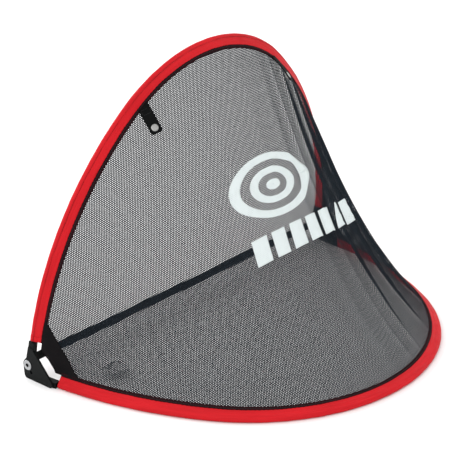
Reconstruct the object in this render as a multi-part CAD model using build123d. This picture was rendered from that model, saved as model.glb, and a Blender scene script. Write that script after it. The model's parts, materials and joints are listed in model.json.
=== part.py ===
"""A folding golf chipping net: two springy bows in fabric sleeves, hinged like a clam shell.

The lower bow lies on the ground and the upper bow stands open. A catch net runs from bow to bow behind
the mouth, a floor net fills the lower bow, and a webbing strap ties the two hinges together.
Millimetres, +Z up. The mouth faces -Y, and the hinge axis is parallel to X. +X is the player's right.
"""
from build123d import *
import os
from math import asin, atan2, cos, degrees, radians, sin, sqrt

# ---------------------------------------------------------------- driving dimensions
HALF_SPAN = 364.0  # middle plane to a rod's centre line, at the hinges
BOW_REACH = 463.0  # pivot line to a rod's centre line, at the crown
UPPER_CROWN_RADIUS = 282.0  # the rods' bends round their crowns
LOWER_CROWN_RADIUS = 327.0
OPEN_ANGLE = 84.0  # between the bows when the net stands open
PIVOT_HEIGHT = 24.0
ROD_HEIGHT = 5.0  # the lower rod's centre line

ROD_RADIUS = 2.5
SLEEVE_RADIUS = 5.0  # where the sleeve goes round the rod
SLEEVE_WIDTH = 14.5  # rod centre to the sleeve's seam
BINDING_WIDTH = 5.0
SLEEVE_FLAT = 3.0  # thickness of the sleeve's flat part
BINDING_FLAT = 2.2
NET_FLAT = 1.2
PATCH_FLAT = 1.6
UPPER_SLEEVE_START = 43.0  # along the bow, from the pivot line
LOWER_SLEEVE_START = 60.0
UPPER_PATCH_END = 88.0
LOWER_PATCH_END = 104.0
NET_GAP = 0.6  # between the catch net's edge and a binding
NET_SAG = 0.072  # how far the taut net is drawn in from straight, as a share of its length there
NET_SAG_LEAN = 0.67  # how much of that lies nearer to the lower bow
NET_CURVE_POINTS = 9
NET_SECTIONS = 41
PATCH_SECTIONS = 7

FLOOR_NET_BOTTOM = 17.0
FLOOR_NET_SIDE_INSET = 3.5
FLOOR_NET_CROWN_INSET = 14.0
FLOOR_NET_CORNER = 346.0  # half-width of the floor net along the strap

PIVOT_BORE = 3.2
RIVET_RADIUS = 4.2
RIVET_HEAD = 8.5
RIVET_CURL = 6.0  # the rolled-over inner end
RIVET_HEAD_THICKNESS = 1.2
RIVET_HEAD_ROUND = 0.7
RUNNING_GAP = 0.05
WASHER_RADIUS = 7.5
WASHER_THICKNESS = 1.0

BRACKET_HALF = 4.6  # half-width of the moulding round a rod
PLATE_THICKNESS = 3.5
LAYER_GAP = 0.4  # between hinge parts that slide past each other
SOCKET_RADIUS = 2.6
ARM_LENGTH = 40.0
ARM_DEPTH = 11.0
ARM_EYE = 9.0
ARM_WEB_LENGTH = 30.0  # where the arm's eye has tapered into its bar
ARM_ROD_START = 12.0
SOCKET_CLEARANCE = 0.5  # between a rod's end and the bottom of its socket
CHANNEL_BACK = -5.0
CHANNEL_LENGTH = 57.0
CHANNEL_TOP = 9.6
LOWER_ROD_START = 5.0
PEG_HOLE_RADIUS = 2.9
PEG_HOLE_PLACE = (7.6, 13.0)  # Y from the pivot, and Z
CHEEK_CORNERS = (  # the cheek's rounded corners: Y from the pivot, Z and radius
    (0.0, PIVOT_HEIGHT, 10.0),
    (11.5, 50.0, 3.0),
    (48.0, 6.0, 6.0),
    (-1.0, 7.0, 7.0),
)

STRAP_WIDTH = 16.0
STRAP_THICKNESS = 1.5
STRAP_FRONT = 10.5  # its centre plane, ahead of the pivot line
STRAP_END = 9.0  # how far its riveted ends reach behind the pivot line
STRAP_BEND = 2.0

TAB_X = 168.0  # where a closure tab is sewn on, from the middle plane
TAB_WIDTH = 20.0
TAB_LENGTH = 50.0
TAB_THICKNESS = 1.6
TAB_SLANT = 26.0  # from square to the bow, towards the hinge
TAB_LIFT = 4.0  # the tab's free end stands off the net
TAB_STAND_OFF = 2.2
TAB_ROOT_GAP = 0.4
TAB_CORNER = 3.0
SNAP_FROM_END = 12.0
SNAP_CAP_RADIUS = 6.25
SNAP_CAP_HEIGHT = 2.2
SNAP_CAP_ROUND = 1.5
SNAP_SOCKET_RADIUS = 5.0
SNAP_SOCKET_HEIGHT = 1.8
SNAP_POST_RADIUS = 2.0
SNAP_POST_GAP = 0.1
STUD_BASE_RADIUS = 5.5
STUD_BASE_HEIGHT = 0.9
STUD_RADIUS = 2.0
STUD_HEIGHT = 1.4
STUD_FROM_SLEEVE = 1.0

LABEL_SIZE = (42.0, 30.0, 0.6)
LABEL_PLACE = (270.0, 94.0)  # X, and Y from the pivot

# ---------------------------------------------------------------- worked out from them
SEAM = SLEEVE_WIDTH + BINDING_WIDTH  # rod centre to the net's edge
BACK_OF_BOW = BOW_REACH + SLEEVE_RADIUS
FRONT_OF_STRAP = STRAP_FRONT + STRAP_THICKNESS / 2
HINGE_Y = -(BACK_OF_BOW - FRONT_OF_STRAP) / 2  # puts the origin under the middle of the net
BRACKET_OUTSIDE = HALF_SPAN + BRACKET_HALF
BRACKET_INSIDE = HALF_SPAN - BRACKET_HALF
PLATE_INSIDE = BRACKET_OUTSIDE + LAYER_GAP
PLATE_OUTSIDE = PLATE_INSIDE + PLATE_THICKNESS
STRAP_OUTSIDE = BRACKET_INSIDE - LAYER_GAP
WASHER_OUTSIDE = STRAP_OUTSIDE - STRAP_THICKNESS
WASHER_INSIDE = WASHER_OUTSIDE - WASHER_THICKNESS
RIVET_INSIDE = WASHER_INSIDE - RIVET_HEAD_THICKNESS
RIVET_OUTSIDE = PLATE_OUTSIDE + RIVET_HEAD_THICKNESS


# ---------------------------------------------------------------- bow geometry
class Arch:
    """A three-centred arch in a bow's own plane: X across, Y away from the pivot line."""

    def __init__(self, half_span, reach, crown_radius):
        rise = reach - crown_radius
        self.crown_radius = crown_radius
        self.side_radius = (half_span**2 + rise**2 - crown_radius**2) / (2 * (half_span - crown_radius))
        self.side_centre = half_span - self.side_radius
        self.crown_centre = rise
        self.join = degrees(atan2(rise, -self.side_centre))

    def side_angle(self, reach):
        return degrees(asin(reach / self.side_radius))

    def side(self, first, last):
        """The right side's arc between two distances from the pivot line."""
        start = self.side_angle(first)
        return CenterArc((self.side_centre, 0), self.side_radius, start, self.side_angle(last) - start)

    def line(self, start):
        """The whole arch, right to left, with both ends at one distance from the pivot line."""
        angle = self.side_angle(start)
        turn = self.join - angle
        right = CenterArc((self.side_centre, 0), self.side_radius, angle, turn)
        crown = CenterArc((0, self.crown_centre), self.crown_radius, self.join, 180 - 2 * self.join)
        left = CenterArc((-self.side_centre, 0), self.side_radius, 180 - self.join, turn)
        return right + crown + left

    def crown_angle_at(self, x):
        return degrees(atan2(sqrt(self.crown_radius**2 - x**2), x))


class Bow:
    """One bow: its plane, with X across and Y away from the pivot line, and where things on it start."""

    def __init__(self, height, angle, crown_radius, rod_start, sleeve_start, patch_end):
        normal = (0, -sin(radians(angle)), cos(radians(angle)))
        self.plane = Plane(origin=(0, HINGE_Y, height), x_dir=(1, 0, 0), z_dir=normal)
        self.crown_radius = crown_radius
        self.rod_start = rod_start
        self.sleeve_start = sleeve_start
        self.patch_end = patch_end

    def arch(self, inset=0.0):
        """The rod's centre line, moved inwards by inset."""
        return Arch(HALF_SPAN - inset, BOW_REACH - inset, self.crown_radius - inset)

    def tube(self, radius, start):
        """A round tube along the rod, in place."""
        return self.plane * swept(Circle(radius), self.arch().line(start))

    def crown(self):
        return self.plane.from_local_coords(Vector(0, BOW_REACH, 0))


UPPER = Bow(
    PIVOT_HEIGHT, OPEN_ANGLE, UPPER_CROWN_RADIUS, ARM_ROD_START, UPPER_SLEEVE_START, UPPER_PATCH_END
)
LOWER = Bow(ROD_HEIGHT, 0.0, LOWER_CROWN_RADIUS, LOWER_ROD_START, LOWER_SLEEVE_START, LOWER_PATCH_END)


def section_plane(line):
    """Square to the start of a line: local X is inwards and local Y is the bow plane's normal."""
    tangent = line % 0
    return Plane(origin=line @ 0, x_dir=(-tangent.Y, tangent.X, 0), z_dir=tangent)


def swept(section, line):
    return sweep(section_plane(line) * section, path=line)


def closed_face(first, second):
    """The face between two lines that run the same way."""
    ends = Line(first @ 0, second @ 0), Line(first @ 1, second @ 1)
    return make_face([*first.edges(), *second.edges(), *ends])


def bow_to_bow(thickness, lines):
    """A sheet ruled from the upper bow's rod to the lower one's, where lines picks out a bow's stretch."""
    faces = []
    for bow in (UPPER, LOWER):
        outer = lines(bow, bow.arch(-thickness / 2))
        inner = lines(bow, bow.arch(thickness / 2))
        faces.append(bow.plane * closed_face(outer, inner))
    return loft(faces, ruled=True)


def from_sleeve_start(bow, arch):
    return arch.line(bow.sleeve_start)


def between_patches(bow, arch):
    return arch.line(bow.patch_end)


def along_right_patch(bow, arch):
    return arch.side(bow.sleeve_start, bow.patch_end)


def mirrored(shape):
    return mirror(shape, about=Plane.YZ)


def ruling():
    """The unit vector along the catch net, from the upper crown to the lower crown."""
    return (LOWER.crown() - UPPER.crown()).normalized()


# ---------------------------------------------------------------- bows, sleeves and bindings
def bow_rod(bow):
    return bow.tube(ROD_RADIUS, bow.rod_start)


def sleeve(bow, flat_sheet):
    """A pocket round the rod, with a flat part that leads into the catch net."""
    pocket = bow.tube(SLEEVE_RADIUS, bow.sleeve_start)
    reach = bow.tube(SLEEVE_WIDTH, bow.sleeve_start)
    return pocket + (flat_sheet & reach) - bow.tube(SOCKET_RADIUS, bow.sleeve_start)


def binding(bow, sheet):
    return (sheet & bow.tube(SEAM, bow.sleeve_start)) - bow.tube(SLEEVE_WIDTH, bow.sleeve_start)


# ---------------------------------------------------------------- nets and patches
def net_depth(down):
    """How far a net is drawn in, as a share of its length, from 0 at its upper edge to 1 at its lower."""
    return NET_SAG * 4 * down * (1 - down) * (1 + NET_SAG_LEAN * (down - 0.5))


def net_section(upper, lower, along, thickness):
    """A strip's outline from seam to seam, a share of the way along both rods' lines."""
    start, end = upper @ along, lower @ along
    down = (end - start).normalized()
    tangents = upper % along, lower % along
    margins = [(SEAM + NET_GAP) / sqrt(1 - tangent.dot(down) ** 2) for tangent in tangents]
    inwards = (tangents[0] + tangents[1]).cross(down).normalized()
    top = start + down * margins[0]
    length = (end - start).length - sum(margins)
    faces = []
    for offset in (-thickness / 2, thickness / 2):
        shares = [point / (NET_CURVE_POINTS - 1) for point in range(NET_CURVE_POINTS)]
        points = [top + down * length * s + inwards * (net_depth(s) * length + offset) for s in shares]
        faces.append(Spline(*points))
    outer, inner = faces
    return Wire([outer, Line(outer @ 1, inner @ 1), inner, Line(inner @ 0, outer @ 0)])


def drawn_in_sheet(thickness, lines, sections):
    """A sheet from seam to seam, drawn in by its tension, where lines picks out a bow's stretch."""
    upper, lower = (bow.plane * lines(bow, bow.arch()) for bow in (UPPER, LOWER))
    places = [section / (sections - 1) for section in range(sections)]
    return Solid.make_loft([net_section(upper, lower, place, thickness) for place in places])


def catch_net():
    return drawn_in_sheet(NET_FLAT, between_patches, NET_SECTIONS)


def corner_patch():
    """The solid fabric corner beside the right hinge."""
    return drawn_in_sheet(PATCH_FLAT, along_right_patch, PATCH_SECTIONS)


def floor_net():
    arch = Arch(
        HALF_SPAN - FLOOR_NET_SIDE_INSET,
        BOW_REACH - FLOOR_NET_CROWN_INSET,
        LOWER_CROWN_RADIUS - FLOOR_NET_CROWN_INSET / 2,
    )
    edge = arch.line(LOWER_SLEEVE_START)
    front = STRAP_THICKNESS / 2 - STRAP_FRONT
    corners = (FLOOR_NET_CORNER, front), (-FLOOR_NET_CORNER, front)
    outline = [*edge.edges(), Line(edge @ 0, corners[0]), Line(*corners), Line(corners[1], edge @ 1)]
    return Pos(0, HINGE_Y, FLOOR_NET_BOTTOM) * extrude(make_face(outline), NET_FLAT)


def care_label():
    x, y = LABEL_PLACE
    thickness = LABEL_SIZE[2]
    return Pos(x, HINGE_Y + y, FLOOR_NET_BOTTOM + NET_FLAT + thickness / 2) * Box(*LABEL_SIZE)


def hinge_strap():
    """Webbing on edge across the mouth, its ends turned back along the brackets and riveted."""
    end_x = STRAP_OUTSIDE - STRAP_THICKNESS / 2
    corners = (end_x, STRAP_END), (end_x, -STRAP_FRONT), (-end_x, -STRAP_FRONT), (-end_x, STRAP_END)
    ribbon = trace(FilletPolyline(*corners, radius=STRAP_BEND), STRAP_THICKNESS)
    strap = Pos(0, HINGE_Y, PIVOT_HEIGHT - STRAP_WIDTH / 2) * extrude(ribbon, STRAP_WIDTH)
    return strap - across(RIVET_RADIUS + RUNNING_GAP, -PLATE_OUTSIDE, PLATE_OUTSIDE)


# ---------------------------------------------------------------- hinges
def across(radius, first_x, last_x, place=(0.0, PIVOT_HEIGHT)):
    """A cylinder along X, by default on the pivot line. place is Y from the pivot, and Z."""
    length = last_x - first_x
    centre = Pos((first_x + last_x) / 2, HINGE_Y + place[0], place[1])
    return centre * Rot(0, 90, 0) * Cylinder(radius, length)


def side_profile(sketch, first_x, last_x):
    """A sketch drawn in Y from the pivot and Z, given a thickness along X."""
    plane = Plane(origin=(first_x, HINGE_Y, 0), x_dir=(0, 1, 0), z_dir=(1, 0, 0))
    return plane * extrude(sketch, last_x - first_x)


def lower_hinge_plate():
    """The right-hand plate: a flat cheek on the outside and a channel that holds the lower rod."""
    circles = [Pos(y, z) * Circle(radius) for y, z, radius in CHEEK_CORNERS]
    cheek = side_profile(make_hull([e for c in circles for e in c.edges()]), PLATE_INSIDE, PLATE_OUTSIDE)
    rod_line = LOWER.arch().side(CHANNEL_BACK, CHANNEL_LENGTH)
    width = BRACKET_HALF + (PLATE_INSIDE + PLATE_OUTSIDE) / 2 - HALF_SPAN
    moulding = Pos(BRACKET_HALF - width / 2, CHANNEL_TOP / 2 - ROD_HEIGHT) * Rectangle(width, CHANNEL_TOP)
    channel = LOWER.plane * swept(moulding, rod_line)
    plate = cheek + channel - LOWER.tube(SOCKET_RADIUS, LOWER.rod_start - SOCKET_CLEARANCE)
    plate -= across(RIVET_RADIUS + RUNNING_GAP, PLATE_INSIDE, PLATE_OUTSIDE)
    return plate - across(PEG_HOLE_RADIUS, BRACKET_INSIDE, PLATE_OUTSIDE, PEG_HOLE_PLACE)


def upper_hinge_arm():
    """The right-hand arm: an eye on the pivot and a socket for the upper rod."""
    half = ARM_DEPTH / 2
    web = Polygon((-ARM_EYE, 0), (ARM_EYE, 0), (half, ARM_WEB_LENGTH), (-half, ARM_WEB_LENGTH), align=None)
    upright = Plane(origin=(BRACKET_INSIDE, 0, 0), x_dir=(0, 0, -1), z_dir=(1, 0, 0))
    eye = upright * extrude(Circle(ARM_EYE) + web, 2 * BRACKET_HALF)
    bar = swept(Rectangle(2 * BRACKET_HALF, ARM_DEPTH), UPPER.arch().side(0.0, ARM_LENGTH))
    arm = UPPER.plane * (eye + bar) - UPPER.tube(SOCKET_RADIUS, UPPER.rod_start - SOCKET_CLEARANCE)
    return arm - across(RIVET_RADIUS + RUNNING_GAP, STRAP_OUTSIDE, PLATE_OUTSIDE)


def pivot_rivet():
    """A hollow rivet with a flat head outside and a rolled end inside."""
    head = across(RIVET_HEAD, PLATE_OUTSIDE, RIVET_OUTSIDE)
    head = fillet(head.edges().filter_by(GeomType.CIRCLE).sort_by(Axis.X)[-1], RIVET_HEAD_ROUND)
    barrel = across(RIVET_RADIUS, RIVET_INSIDE, RIVET_OUTSIDE)
    curl = across(RIVET_CURL, RIVET_INSIDE, WASHER_INSIDE)
    return head + barrel + curl - across(PIVOT_BORE, RIVET_INSIDE, RIVET_OUTSIDE)


def pivot_washer():
    ring = across(WASHER_RADIUS, WASHER_INSIDE, WASHER_OUTSIDE)
    return ring - across(RIVET_RADIUS + RUNNING_GAP, WASHER_INSIDE, WASHER_OUTSIDE)


# ---------------------------------------------------------------- closure tabs
def tab_frame():
    """Where the right tab is sewn on: X along the bow, Z out of the net. The tab hangs along -Y."""
    arch = UPPER.arch()
    angle = radians(arch.crown_angle_at(TAB_X))
    reach = arch.crown_centre + arch.crown_radius * sin(angle)
    rod = UPPER.plane.from_local_coords(Vector(TAB_X, reach, 0))
    ahead = UPPER.plane.from_local_coords(Vector(TAB_X - sin(angle), reach + cos(angle), 0))
    tangent = (ahead - rod).normalized()
    outwards = tangent.cross(ruling()).normalized()
    outwards = outwards if outwards.Z > 0 else -outwards
    square = outwards.cross(tangent)
    root = rod - square * (SEAM + NET_GAP) + outwards * TAB_STAND_OFF
    lift = radians(TAB_LIFT)
    return Plane(origin=root, x_dir=tangent, z_dir=outwards * cos(lift) + square * sin(lift))


def tab_outline():
    """Webbing cut along the bow at its root and square at its free end."""
    slant = radians(TAB_SLANT)
    along = Vector(-sin(slant), -cos(slant))
    side = Vector(cos(slant), -sin(slant))
    half_root = TAB_WIDTH / 2 / cos(slant)
    right = Vector(half_root, -TAB_ROOT_GAP)
    left = Vector(-half_root, -TAB_ROOT_GAP)
    right_end = along * TAB_LENGTH + side * (TAB_WIDTH / 2)
    left_end = along * TAB_LENGTH - side * (TAB_WIDTH / 2)
    outline = Polygon(*[(p.X, p.Y) for p in (right, left, left_end, right_end)], align=None)
    ends = outline.vertices().sort_by(Axis.Y)[:2]
    return fillet(ends, TAB_CORNER)


def snap_place():
    slant = radians(TAB_SLANT)
    reach = TAB_LENGTH - SNAP_FROM_END
    return Pos(-sin(slant) * reach, -cos(slant) * reach, 0)


def closure_tab():
    half = TAB_THICKNESS / 2
    webbing = extrude(tab_outline(), half, both=True)
    hole = snap_place() * Cylinder(SNAP_POST_RADIUS + SNAP_POST_GAP, TAB_THICKNESS)
    return tab_frame() * (webbing - hole)


def snap_cap():
    """The pressed cap on the tab's outside, with the post that goes through the webbing."""
    half = TAB_THICKNESS / 2
    align = (Align.CENTER, Align.CENTER, Align.MIN)
    cap = Cylinder(SNAP_CAP_RADIUS, SNAP_CAP_HEIGHT, align=align)
    cap = fillet(cap.edges().sort_by(Axis.Z)[-1], SNAP_CAP_ROUND)
    post = Cylinder(SNAP_POST_RADIUS, TAB_THICKNESS + SNAP_SOCKET_HEIGHT / 2, align=align)
    post = Pos(0, 0, -TAB_THICKNESS - SNAP_SOCKET_HEIGHT / 2) * post
    return tab_frame() * snap_place() * Pos(0, 0, half) * (cap + post)


def snap_socket():
    """The socket ring on the tab's inside."""
    half = TAB_THICKNESS / 2
    align = (Align.CENTER, Align.CENTER, Align.MAX)
    ring = Cylinder(SNAP_SOCKET_RADIUS, SNAP_SOCKET_HEIGHT, align=align)
    ring -= Cylinder(SNAP_POST_RADIUS + SNAP_POST_GAP, SNAP_SOCKET_HEIGHT, align=align)
    return tab_frame() * snap_place() * Pos(0, 0, -half) * ring


def lower_snap_stud():
    """The mating stud, under the lower bow's binding at the tab's place."""
    arch = LOWER.arch(SLEEVE_RADIUS + STUD_BASE_RADIUS + STUD_FROM_SLEEVE)
    y = arch.crown_centre + arch.crown_radius * sin(radians(arch.crown_angle_at(TAB_X)))
    align = (Align.CENTER, Align.CENTER, Align.MAX)
    base = Cylinder(STUD_BASE_RADIUS, STUD_BASE_HEIGHT, align=align)
    stud = Pos(0, 0, -STUD_BASE_HEIGHT) * Cylinder(STUD_RADIUS, STUD_HEIGHT, align=align)
    return Pos(TAB_X, HINGE_Y + y, ROD_HEIGHT) * (base + stud)


# ---------------------------------------------------------------- the whole net
def build():
    """Every sub-part, by its name."""
    sleeve_sheet = bow_to_bow(SLEEVE_FLAT, from_sleeve_start)
    binding_sheet = bow_to_bow(BINDING_FLAT, from_sleeve_start)
    parts = {
        "lower_bow_rod": bow_rod(LOWER),
        "lower_sleeve": sleeve(LOWER, sleeve_sheet),
        "lower_binding": binding(LOWER, binding_sheet),
        "upper_bow_rod": bow_rod(UPPER),
        "upper_sleeve": sleeve(UPPER, sleeve_sheet),
        "upper_binding": binding(UPPER, binding_sheet),
        "catch_net": catch_net(),
        "floor_net": floor_net(),
        "care_label": care_label(),
        "hinge_strap": hinge_strap(),
    }
    pairs = {
        "corner_patch": corner_patch(),
        "lower_hinge_plate": lower_hinge_plate(),
        "upper_hinge_arm": upper_hinge_arm(),
        "pivot_rivet": pivot_rivet(),
        "pivot_washer": pivot_washer(),
        "closure_tab": closure_tab(),
        "snap_cap": snap_cap(),
        "snap_socket": snap_socket(),
        "lower_snap_stud": lower_snap_stud(),
    }
    for name, shape in pairs.items():
        parts[f"{name}_right"] = shape
        parts[f"{name}_left"] = mirrored(shape)
    return parts


def main():
    os.makedirs("parts", exist_ok=True)
    for name, shape in build().items():
        export_step(shape, f"parts/{name}.step")


main()
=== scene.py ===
"""Looks of the folding golf chipping net: fabric, mesh, webbing, finishes, camera and light, in metres."""
import json
import math
import bpy
import numpy as np
from mathutils import Matrix, Vector


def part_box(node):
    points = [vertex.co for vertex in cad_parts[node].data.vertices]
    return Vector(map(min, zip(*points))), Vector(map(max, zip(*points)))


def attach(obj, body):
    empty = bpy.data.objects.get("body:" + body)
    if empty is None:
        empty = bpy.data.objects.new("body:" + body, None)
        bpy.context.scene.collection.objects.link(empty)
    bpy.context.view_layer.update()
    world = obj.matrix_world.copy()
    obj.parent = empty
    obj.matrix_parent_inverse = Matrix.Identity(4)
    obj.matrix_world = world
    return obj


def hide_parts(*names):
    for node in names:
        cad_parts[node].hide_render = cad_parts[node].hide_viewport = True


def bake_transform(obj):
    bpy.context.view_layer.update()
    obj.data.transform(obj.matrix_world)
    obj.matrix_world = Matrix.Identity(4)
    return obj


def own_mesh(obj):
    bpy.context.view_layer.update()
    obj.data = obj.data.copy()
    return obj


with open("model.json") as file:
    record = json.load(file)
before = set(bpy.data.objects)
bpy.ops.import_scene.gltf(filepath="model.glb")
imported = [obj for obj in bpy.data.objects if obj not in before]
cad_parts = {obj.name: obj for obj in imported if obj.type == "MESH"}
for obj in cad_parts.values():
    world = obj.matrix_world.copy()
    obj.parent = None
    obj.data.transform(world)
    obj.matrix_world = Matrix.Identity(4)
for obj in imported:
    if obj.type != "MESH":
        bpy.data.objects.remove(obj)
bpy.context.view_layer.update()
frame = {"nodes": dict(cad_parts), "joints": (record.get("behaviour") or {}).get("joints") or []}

# ---------------------------------------------------------------- driving dimensions, as in the CAD model
HALF_SPAN = 0.364
BOW_REACH = 0.463
CROWN_RADII = (0.282, 0.327)  # upper bow, lower bow
ROD_HEIGHT = 0.005
SLEEVE_RADIUS = 0.005
SLEEVE_WIDTH = 0.0145
BINDING_WIDTH = 0.005
SEAM = SLEEVE_WIDTH + BINDING_WIDTH
UPPER_START = 0.043
LOWER_START = 0.060
STRAP_WIDTH = 0.016
STRAP_THICKNESS = 0.0015
STRAP_FRONT = 0.0105
STRAP_END = 0.009
STRAP_END_X = 0.35825
TAB_WIDTH = 0.020
TAB_THICKNESS = 0.0016
TAB_SLANT = math.radians(26)
SNAP_FROM_END = 0.012

JOINTS = {joint["name"]: joint for joint in frame["joints"]}
PIVOT = np.array(JOINTS["fold"]["pos_m"])
OPEN_ANGLE = math.radians(-JOINTS["fold"]["range_deg"][0])
BOW_UP = np.array([0, math.cos(OPEN_ANGLE), math.sin(OPEN_ANGLE)])
ACROSS = np.array([1.0, 0, 0])


# ---------------------------------------------------------------- materials
class Paint:
    """A Principled material and short calls for the nodes that feed it."""

    def __init__(self, name, colour, roughness, **sockets):
        self.material = bpy.data.materials.new(name)
        self.material.use_nodes = True
        self.tree = self.material.node_tree
        self.shader = self.tree.nodes["Principled BSDF"]
        self.shader.inputs["Base Color"].default_value = (*colour, 1)
        self.shader.inputs["Roughness"].default_value = roughness
        for socket, value in sockets.items():
            self.shader.inputs[socket.replace("_", " ")].default_value = value

    def node(self, kind, settings=None, **inputs):
        made = self.tree.nodes.new("ShaderNode" + kind)
        for key, value in (settings or {}).items():
            setattr(made, key, value)
        for key, value in inputs.items():
            self.feed(made.inputs[key.replace("_", " ")], value)
        return made

    def feed(self, socket, value):
        if isinstance(value, bpy.types.NodeSocket):
            self.tree.links.new(value, socket)
        else:
            socket.default_value = value

    def math(self, operation, *values):
        made = self.tree.nodes.new("ShaderNodeMath")
        made.operation = operation
        for socket, value in zip(made.inputs, values):
            self.feed(socket, value)
        return made.outputs[0]

    def vector(self, operation, *values):
        made = self.tree.nodes.new("ShaderNodeVectorMath")
        made.operation = operation
        for socket, value in zip(made.inputs, values):
            self.feed(socket, value)
        return made.outputs["Value" if operation in ("LENGTH", "DOT_PRODUCT") else "Vector"]

    def place(self, flat, scale=1.0):
        """UV in metres, or the object's own coordinates, scaled."""
        source = self.node("TexCoord").outputs["UV" if flat else "Object"]
        factor = scale if hasattr(scale, "__len__") else (scale,) * 3
        return self.vector("MULTIPLY", source, factor)

    def noise(self, scale, detail=3.0, flat=False, roughness=0.5):
        where = self.place(flat, scale)
        made = self.node("TexNoise", Vector=where, Scale=1.0, Detail=detail, Roughness=roughness)
        return made.outputs["Fac"]

    def range(self, value, low, high, to_low=0.0, to_high=1.0, smooth=False):
        kind = {"interpolation_type": "SMOOTHSTEP" if smooth else "LINEAR"}
        values = {"Value": value, "From_Min": low, "From_Max": high, "To_Min": to_low, "To_Max": to_high}
        return self.node("MapRange", kind, **values).outputs[0]

    def mix_colour(self, factor, first, second):
        made = self.node("Mix", {"data_type": "RGBA"})
        self.feed(made.inputs[0], factor)
        self.feed(made.inputs[6], first if not isinstance(first, tuple) else (*first, 1))
        self.feed(made.inputs[7], second if not isinstance(second, tuple) else (*second, 1))
        return made.outputs[2]

    def colour(self, factor, first, second):
        self.feed(self.shader.inputs["Base Color"], self.mix_colour(factor, first, second))

    def rough(self, factor, low, high):
        self.feed(self.shader.inputs["Roughness"], self.range(factor, 0, 1, low, high))

    def bump(self, height, distance, strength=1.0):
        """Adds a bump in metres on top of those already made."""
        made = self.node("Bump", Height=height, Distance=distance, Strength=strength)
        socket = self.shader.inputs["Normal"]
        if socket.links:
            self.feed(made.inputs["Normal"], socket.links[0].from_socket)
        self.feed(socket, made.outputs[0])

    def threads(self, pitch_u, pitch_v):
        """Height of a plain weave from two crossing rows of threads, in UV metres."""
        parts = self.node("SeparateXYZ", Vector=self.place(True))
        u = self.math("MULTIPLY", parts.outputs[0], 2 * math.pi / pitch_u)
        v = self.math("MULTIPLY", parts.outputs[1], 2 * math.pi / pitch_v)
        half_u, half_v = (self.math("SINE", self.math("MULTIPLY", turn, 0.5)) for turn in (u, v))
        over = self.math("MULTIPLY", half_u, half_v)
        warp = self.math("MULTIPLY", self.math("ABSOLUTE", self.math("COSINE", u)), 0.5)
        return self.math("ADD", self.math("ABSOLUTE", over), warp)


def sleeve_cloth():
    p = Paint("red_sleeve_cloth", (0.56, 0.008, 0.014), 0.5, Specular_IOR_Level=0.12)
    blotches = p.noise(9.0, 4)
    creases = p.noise((14.0, 230.0, 1.0), 3, flat=True)
    weave = p.threads(0.0007, 0.0007)
    # Colour: random darker blotches, and painted shade in the hollows of the creases and between the weave's
    # threads.
    shade = p.math("ADD", p.math("MULTIPLY", blotches, 0.4), p.math("MULTIPLY", creases, 0.4))
    shade = p.math("ADD", shade, p.math("MULTIPLY", weave, 0.2))
    p.colour(p.range(shade, 0.25, 0.75), (0.40, 0.005, 0.009), (0.66, 0.010, 0.017))
    p.rough(p.noise(60.0, 3), 0.42, 0.62)
    p.bump(p.noise((45.0, 190.0, 1.0), 4, flat=True), 0.0012, 0.8)
    p.bump(creases, 0.0024, 0.8)
    p.bump(weave, 0.00008, 0.7)
    return p.material


def binding_tape():
    p = Paint("dark_binding_tape", (0.030, 0.005, 0.006), 0.8, Specular_IOR_Level=0.04)
    parts = p.node("SeparateXYZ", Vector=p.place(True))
    ribs = p.math("ABSOLUTE", p.math("SINE", p.math("MULTIPLY", parts.outputs[0], math.pi / 0.0009)))
    # Painted shade: the colour is darker in the grooves between the ribs and lighter on their tops.
    p.colour(p.math("MULTIPLY", ribs, p.noise(40.0)), (0.008, 0.004, 0.005), (0.040, 0.010, 0.012))
    p.bump(ribs, 0.00015, 0.8)
    p.bump(p.noise(300.0, 2), 0.0002, 0.5)
    return p.material


def webbing(name="black_webbing", pitch=0.0016):
    """Twill webbing: slanted ribs that meet in a herringbone, with selvedge lines."""
    p = Paint(name, (0.003, 0.004, 0.004), 0.7, Specular_IOR_Level=0.04)
    parts = p.node("SeparateXYZ", Vector=p.place(True))
    along, over = parts.outputs[0], parts.outputs[1]
    zigzag = p.math("PINGPONG", over, 0.004)
    ribs = p.math("SINE", p.math("MULTIPLY", p.math("ADD", along, zigzag), 2 * math.pi / pitch))
    cross = p.math("SINE", p.math("MULTIPLY", over, 2 * math.pi / (pitch * 0.6)))
    height = p.math("ADD", p.math("MULTIPLY", ribs, 0.6), p.math("MULTIPLY", cross, 0.4))
    # Painted shade: the colour follows the rib height, darker in the grooves and lighter on the rib tops.
    p.colour(p.range(height, -1, 1), (0.0015, 0.002, 0.002), (0.007, 0.008, 0.008))
    p.rough(p.noise(150.0), 0.5, 0.75)
    p.bump(height, 0.00018, 0.8)
    return p.material


def patch_cloth():
    p = Paint("black_patch_cloth", (0.005, 0.004, 0.005), 0.55, Specular_IOR_Level=0.06)
    weave = p.threads(0.0012, 0.0012)
    # Painted shade: the colour is darker between the raised threads of the weave, and varies at random.
    p.colour(p.math("MULTIPLY", weave, p.noise(30.0)), (0.002, 0.002, 0.0025), (0.011, 0.009, 0.010))
    p.rough(p.noise(90.0), 0.42, 0.66)
    p.bump(p.noise(38.0, 3), 0.0016, 0.5)
    p.bump(weave, 0.0001, 0.7)
    return p.material


def lattice_distance(p, pitch):
    """Distance to the nearest hole centre of a honeycomb lattice in UV, in units of its pitch."""
    cell = (0.5, math.sqrt(3) / 2, 0.5)
    where = p.place(True, 1 / pitch)
    shifted = p.vector("ADD", where, (cell[0], cell[1], 0))
    near = []
    for points in (where, shifted):
        wrapped = p.node("VectorMath", {"operation": "WRAP"})
        p.feed(wrapped.inputs[0], points)
        p.feed(wrapped.inputs[1], cell)
        p.feed(wrapped.inputs[2], tuple(-c for c in cell))
        near.append(p.vector("LENGTH", wrapped.outputs[0]))
    return p.math("MINIMUM", *near)


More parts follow.
